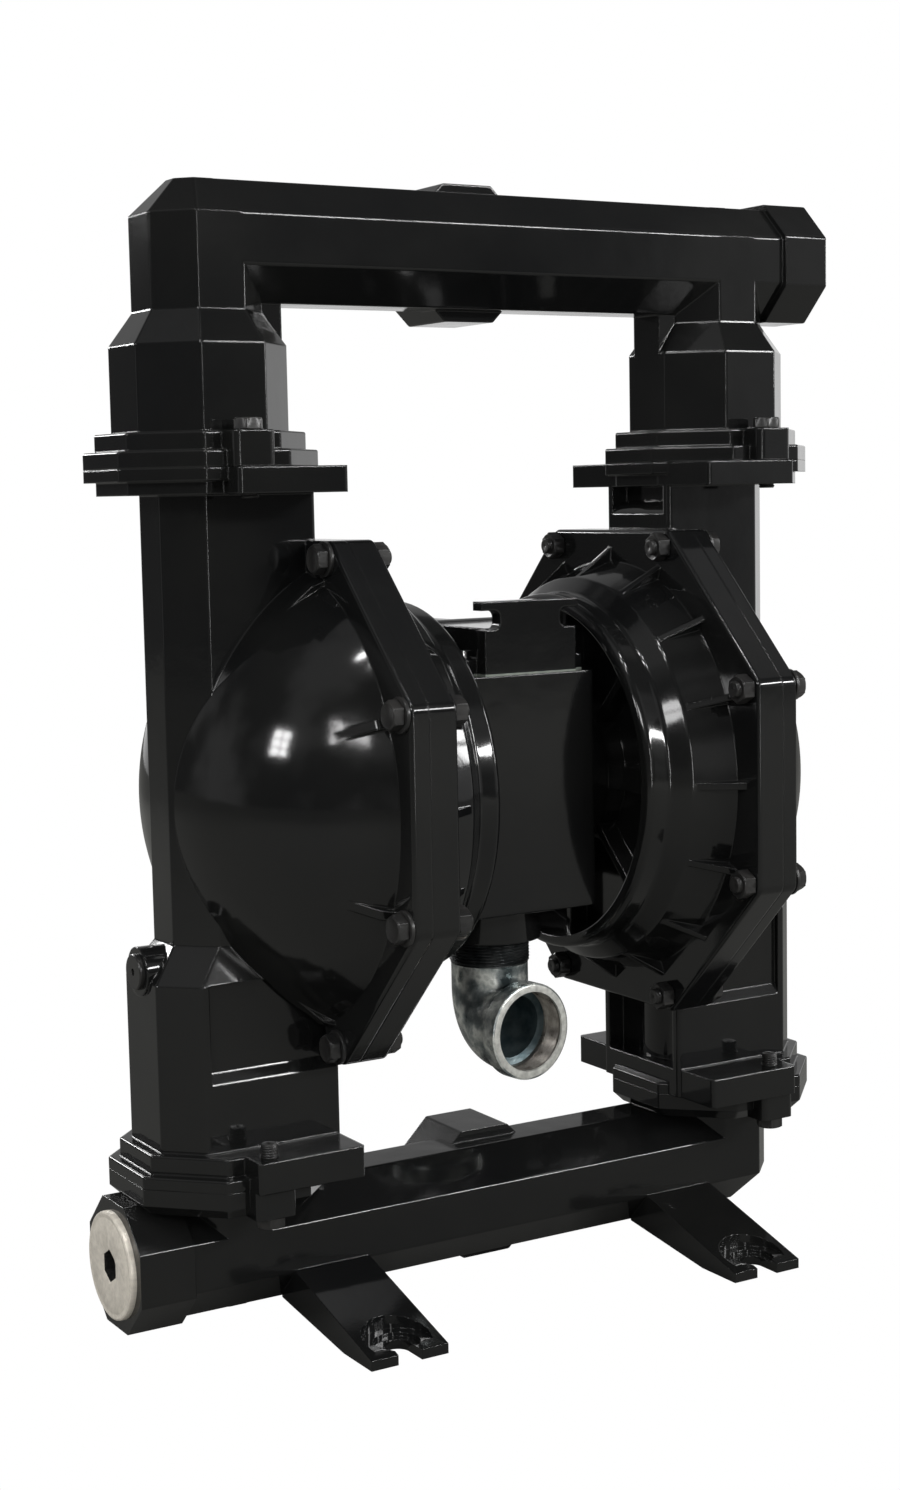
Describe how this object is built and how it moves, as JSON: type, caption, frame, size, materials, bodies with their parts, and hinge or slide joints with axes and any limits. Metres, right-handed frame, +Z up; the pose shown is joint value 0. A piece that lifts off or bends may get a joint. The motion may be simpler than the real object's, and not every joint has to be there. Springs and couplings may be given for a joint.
{
  "type": "air operated double diaphragm pump",
  "caption": "Cast double diaphragm pump: two domed octagonal chambers on a compressed-air centre section, joined by octagonal pipe manifolds above and below, on four slotted feet.",
  "frame": {"origin": "on the floor under the middle of the bounding box, where the pump's middle plane crosses the plane of the two liquid columns", "axes": "+Z up; X along the pump shaft with the outlet manifold's plugged end port towards +X and the inlet's towards -X; +Y to the back, the way the rear ports face; the exhaust faces the front, -Y"},
  "size_m": [0.603, 0.3572, 0.7925],
  "materials": {
    "black_paint": "gloss",
    "painted_fasteners": "gloss",
    "galvanised_iron": "satin",
    "plug_steel": "satin",
    "bright_steel": "satin",
    "seat_steel": "satin",
    "plate_aluminium": "satin",
    "bronze": "satin",
    "black_rubber": "matte",
    "ball_rubber": "matte",
    "gasket": "matte"
  },
  "bodies": {
    "pump_body": {"outlet_manifold": "black_paint", "inlet_manifold": "black_paint", "left_fluid_cap": "black_paint", "right_fluid_cap": "black_paint", "left_air_cap": "black_paint", "right_air_cap": "black_paint", "centre_body": "black_paint", "air_valve_body": "black_paint", "valve_gasket": "gasket", "left_valve_end_cap": "black_paint", "right_valve_end_cap": "black_paint", "valve_screws": "bright_steel", "left_hub_screws": "bright_steel", "right_hub_screws": "bright_steel", "left_shaft_bush": "bronze", "right_shaft_bush": "bronze", "left_shaft_seal": "black_rubber", "right_shaft_seal": "black_rubber", "left_diaphragm": "black_rubber", "right_diaphragm": "black_rubber", "seat_seals": "black_rubber", "left_inlet_seat": "seat_steel", "right_inlet_seat": "seat_steel", "left_outlet_seat": "seat_steel", "right_outlet_seat": "seat_steel", "left_flange_bolts": "painted_fasteners", "right_flange_bolts": "painted_fasteners", "left_flange_washers": "painted_fasteners", "right_flange_washers": "painted_fasteners", "left_flange_nuts": "painted_fasteners", "right_flange_nuts": "painted_fasteners", "outlet_joint_bolts": "painted_fasteners", "inlet_joint_bolts": "painted_fasteners", "exhaust_elbow": "galvanised_iron", "inlet_port_plug": "plug_steel", "outlet_port_plug": "plug_steel", "left_drain_plug": "black_paint", "right_drain_plug": "black_paint"},
    "shaft_assembly": {"main_shaft": "bright_steel", "left_inner_plate": "plate_aluminium", "right_inner_plate": "plate_aluminium", "left_outer_plate": "plate_aluminium", "right_outer_plate": "plate_aluminium"},
    "pilot_pin": {"pilot_pin": "bright_steel"},
    "valve_spool": {"valve_spool": "plate_aluminium"},
    "left_inlet_ball": {"left_inlet_ball": "ball_rubber"},
    "right_inlet_ball": {"right_inlet_ball": "ball_rubber"},
    "left_outlet_ball": {"left_outlet_ball": "ball_rubber"},
    "right_outlet_ball": {"right_outlet_ball": "ball_rubber"}
  },
  "joints": [
    {"name": "shaft_slide", "type": "slide", "parent": "pump_body", "child": "shaft_assembly", "axis": [1, 0, 0], "range_m": [-0.028, 0.028], "deforming": ["left_diaphragm", "right_diaphragm"]},
    {"name": "pilot_pin_slide", "type": "slide", "parent": "pump_body", "child": "pilot_pin", "axis": [1, 0, 0], "range_m": [-0.0041, 0.0041]},
    {"name": "spool_slide", "type": "slide", "parent": "pump_body", "child": "valve_spool", "axis": [1, 0, 0], "range_m": [-0.008, 0.008]},
    {"name": "left_inlet_ball_lift", "type": "slide", "parent": "pump_body", "child": "left_inlet_ball", "axis": [0, 0, 1], "range_m": [0, 0.014]},
    {"name": "right_inlet_ball_lift", "type": "slide", "parent": "pump_body", "child": "right_inlet_ball", "axis": [0, 0, 1], "range_m": [0, 0.014]},
    {"name": "left_outlet_ball_lift", "type": "slide", "parent": "pump_body", "child": "left_outlet_ball", "axis": [0, 0, 1], "range_m": [0, 0.014]},
    {"name": "right_outlet_ball_lift", "type": "slide", "parent": "pump_body", "child": "right_outlet_ball", "axis": [0, 0, 1], "range_m": [0, 0.014]}
  ],
  "couplings": [
    {"joint": "pilot_pin_slide", "follows": "shaft_slide", "ratio": 0.14286}
  ]
}
